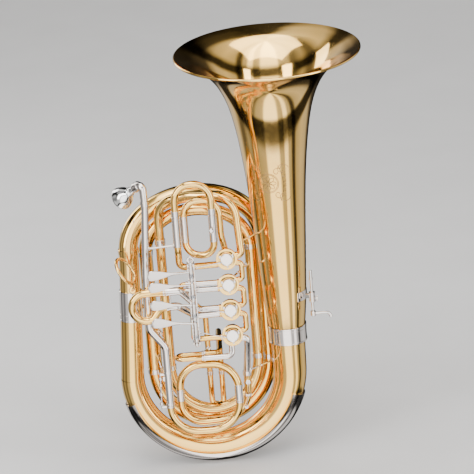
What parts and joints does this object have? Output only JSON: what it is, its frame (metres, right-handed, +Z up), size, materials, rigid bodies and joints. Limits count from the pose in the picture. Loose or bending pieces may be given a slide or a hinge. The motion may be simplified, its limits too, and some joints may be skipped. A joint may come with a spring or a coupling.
{
  "type": "tuba",
  "caption": "Compact rotary tuba with an upright bell, spoon levers, pull-out slides and nickel-silver trim.",
  "frame": {"origin": "lowest point of the bottom bow's guard, under the middle of the bow", "axes": "+Z up along the bell towards its mouth, -Y towards the valves and levers, +X from the leadpipe side to the bell side"},
  "size_m": [0.47, 0.33, 0.7657],
  "materials": {
    "lacquered_brass": "polished and lacquered",
    "nickel_silver": "polished nickel silver",
    "silver_plate": "polished silver plate",
    "steel": "polished steel"
  },
  "bodies": {
    "horn": {"bell": "lacquered_brass", "bell_ferrule": "nickel_silver", "bottom_bow": "lacquered_brass", "bottom_bow_guard": "nickel_silver", "outer_branch": "lacquered_brass", "branch_ferrule": "nickel_silver", "top_bow": "lacquered_brass", "inner_loops": "lacquered_brass", "valve_outlet_bow": "lacquered_brass", "mouthpiece_receiver": "nickel_silver", "leadpipe": "nickel_silver", "upper_return_bow": "nickel_silver", "lower_return_bow": "lacquered_brass", "valve_casing_1": "lacquered_brass", "valve_casing_2": "lacquered_brass", "valve_casing_3": "lacquered_brass", "valve_casing_4": "lacquered_brass", "valve_rear_cap_1": "nickel_silver", "valve_rear_cap_2": "nickel_silver", "valve_rear_cap_3": "nickel_silver", "valve_rear_cap_4": "nickel_silver", "valve_knuckle_1": "lacquered_brass", "valve_knuckle_2": "lacquered_brass", "valve_knuckle_3": "lacquered_brass", "slide_1_left_sleeve": "nickel_silver", "slide_1_inner_loop": "lacquered_brass", "slide_2_sleeves": "nickel_silver", "slide_3_sleeves": "nickel_silver", "fourth_valve_long_loop": "lacquered_brass", "slide_4_return": "nickel_silver", "lever_rack": "nickel_silver", "hinge_rod": "steel", "hand_rest_socket": "nickel_silver", "thumb_ring": "lacquered_brass"},
    "mouthpiece": {"mouthpiece": "silver_plate"},
    "tuning_slide": {"tuning_slide": "lacquered_brass"},
    "slide_1": {"slide_1_crook": "lacquered_brass"},
    "slide_2": {"slide_2_crook": "lacquered_brass"},
    "slide_3": {"slide_3_crook": "lacquered_brass"},
    "slide_4": {"slide_4_crook": "lacquered_brass"},
    "water_key": {"water_key": "nickel_silver"},
    "hand_rest_post": {"hand_rest_post": "nickel_silver"},
    "hand_rest_arm": {"hand_rest_arm": "nickel_silver"},
    "hand_rest_screw": {"hand_rest_screw": "nickel_silver"},
    "lever_1": {"lever_1": "nickel_silver"},
    "link_1": {"link_1": "steel"},
    "rotor_1": {"rotor_1": "lacquered_brass", "stop_arm_1": "nickel_silver"},
    "lever_2": {"lever_2": "nickel_silver"},
    "link_2": {"link_2": "steel"},
    "rotor_2": {"rotor_2": "lacquered_brass", "stop_arm_2": "nickel_silver"},
    "lever_3": {"lever_3": "nickel_silver"},
    "link_3": {"link_3": "steel"},
    "rotor_3": {"rotor_3": "lacquered_brass", "stop_arm_3": "nickel_silver"},
    "lever_4": {"lever_4": "nickel_silver"},
    "link_4": {"link_4": "steel"},
    "rotor_4": {"rotor_4": "lacquered_brass", "stop_arm_4": "nickel_silver"}
  },
  "joints": [
    {"name": "mouthpiece_pull", "type": "slide", "parent": "horn", "child": "mouthpiece", "axis": [-0.5503, 0.6003, -0.5803], "range_m": [0, 0.04]},
    {"name": "tuning_slide_pull", "type": "slide", "parent": "horn", "child": "tuning_slide", "axis": [0, 0, -1], "range_m": [0, 0.022]},
    {"name": "slide_1_pull", "type": "slide", "parent": "horn", "child": "slide_1", "axis": [0, 0, 1], "range_m": [0, 0.018]},
    {"name": "slide_2_pull", "type": "slide", "parent": "horn", "child": "slide_2", "axis": [-1, 0, 0], "range_m": [0, 0.015]},
    {"name": "slide_3_pull", "type": "slide", "parent": "horn", "child": "slide_3", "axis": [-1, 0, 0], "range_m": [0, 0.009]},
    {"name": "slide_4_pull", "type": "slide", "parent": "horn", "child": "slide_4", "axis": [-1, 0, 0], "range_m": [0, 0.011]},
    {"name": "hand_rest_height", "type": "slide", "parent": "horn", "child": "hand_rest_post", "axis": [0, 0, 1], "range_m": [-0.02, 0.015]},
    {"name": "hand_rest_swivel", "type": "hinge", "parent": "hand_rest_post", "child": "hand_rest_arm", "pos_m": [0.19, -0.032, 0.28], "axis": [0, 0, 1], "range_deg": [-90, 40]},
    {"name": "hand_rest_screw_turn", "type": "hinge", "parent": "horn", "child": "hand_rest_screw", "pos_m": [0.197, -0.032, 0.308], "axis": [1, 0, 0], "range_deg": [-180, 180]},
    {"name": "water_key_press", "type": "hinge", "parent": "horn", "child": "water_key", "pos_m": [0.0635, -0.078, 0.152], "axis": [-1, 0, 0], "range_deg": [0, 12], "stiffness_Nm_per_rad": 0.03, "springref_deg": -34.38},
    {"name": "lever_1_press", "type": "hinge", "parent": "horn", "child": "lever_1", "pos_m": [-0.02, -0.128, 0.404], "axis": [0, 0, -1], "range_deg": [0, 16], "stiffness_Nm_per_rad": 0.08, "springref_deg": -34.38},
    {"name": "link_1_turn", "type": "hinge", "parent": "lever_1", "child": "link_1", "pos_m": [-0.02362, -0.10225, 0.408], "axis": [0, 0, 1], "range_deg": [0, 16]},
    {"name": "rotor_1_turn", "type": "hinge", "parent": "horn", "child": "rotor_1", "pos_m": [0.0435, -0.077, 0.4125], "axis": [0, -0.9511, 0.309], "range_deg": [0, 90]},
    {"name": "lever_2_press", "type": "hinge", "parent": "horn", "child": "lever_2", "pos_m": [-0.02, -0.128, 0.364], "axis": [0, 0, -1], "range_deg": [0, 16], "stiffness_Nm_per_rad": 0.08, "springref_deg": -34.38},
    {"name": "link_2_turn", "type": "hinge", "parent": "lever_2", "child": "link_2", "pos_m": [-0.02362, -0.10225, 0.368], "axis": [0, 0, 1], "range_deg": [0, 16]},
    {"name": "rotor_2_turn", "type": "hinge", "parent": "horn", "child": "rotor_2", "pos_m": [0.0435, -0.077, 0.3645], "axis": [0, -0.9511, 0.309], "range_deg": [0, 90]},
    {"name": "lever_3_press", "type": "hinge", "parent": "horn", "child": "lever_3", "pos_m": [-0.02, -0.128, 0.332], "axis": [0, 0, -1], "range_deg": [0, 16], "stiffness_Nm_per_rad": 0.08, "springref_deg": -34.38},
    {"name": "link_3_turn", "type": "hinge", "parent": "lever_3", "child": "link_3", "pos_m": [-0.02362, -0.10225, 0.336], "axis": [0, 0, 1], "range_deg": [0, 16]},
    {"name": "rotor_3_turn", "type": "hinge", "parent": "horn", "child": "rotor_3", "pos_m": [0.0435, -0.077, 0.3165], "axis": [0, -0.9511, 0.309], "range_deg": [0, 90]},
    {"name": "lever_4_press", "type": "hinge", "parent": "horn", "child": "lever_4", "pos_m": [-0.02, -0.128, 0.286], "axis": [0, 0, -1], "range_deg": [0, 16], "stiffness_Nm_per_rad": 0.08, "springref_deg": -34.38},
    {"name": "link_4_turn", "type": "hinge", "parent": "lever_4", "child": "link_4", "pos_m": [-0.02362, -0.10225, 0.29], "axis": [0, 0, 1], "range_deg": [0, 16]},
    {"name": "rotor_4_turn", "type": "hinge", "parent": "horn", "child": "rotor_4", "pos_m": [0.0435, -0.077, 0.2685], "axis": [0, -0.9511, 0.309], "range_deg": [0, 90]}
  ],
  "couplings": [
    {"joint": "link_1_turn", "follows": "lever_1_press", "ratio": 1},
    {"joint": "rotor_1_turn", "follows": "lever_1_press", "ratio": 5.625},
    {"joint": "link_2_turn", "follows": "lever_2_press", "ratio": 1},
    {"joint": "rotor_2_turn", "follows": "lever_2_press", "ratio": 5.625},
    {"joint": "link_3_turn", "follows": "lever_3_press", "ratio": 1},
    {"joint": "rotor_3_turn", "follows": "lever_3_press", "ratio": 5.625},
    {"joint": "link_4_turn", "follows": "lever_4_press", "ratio": 1},
    {"joint": "rotor_4_turn", "follows": "lever_4_press", "ratio": 5.625}
  ]
}
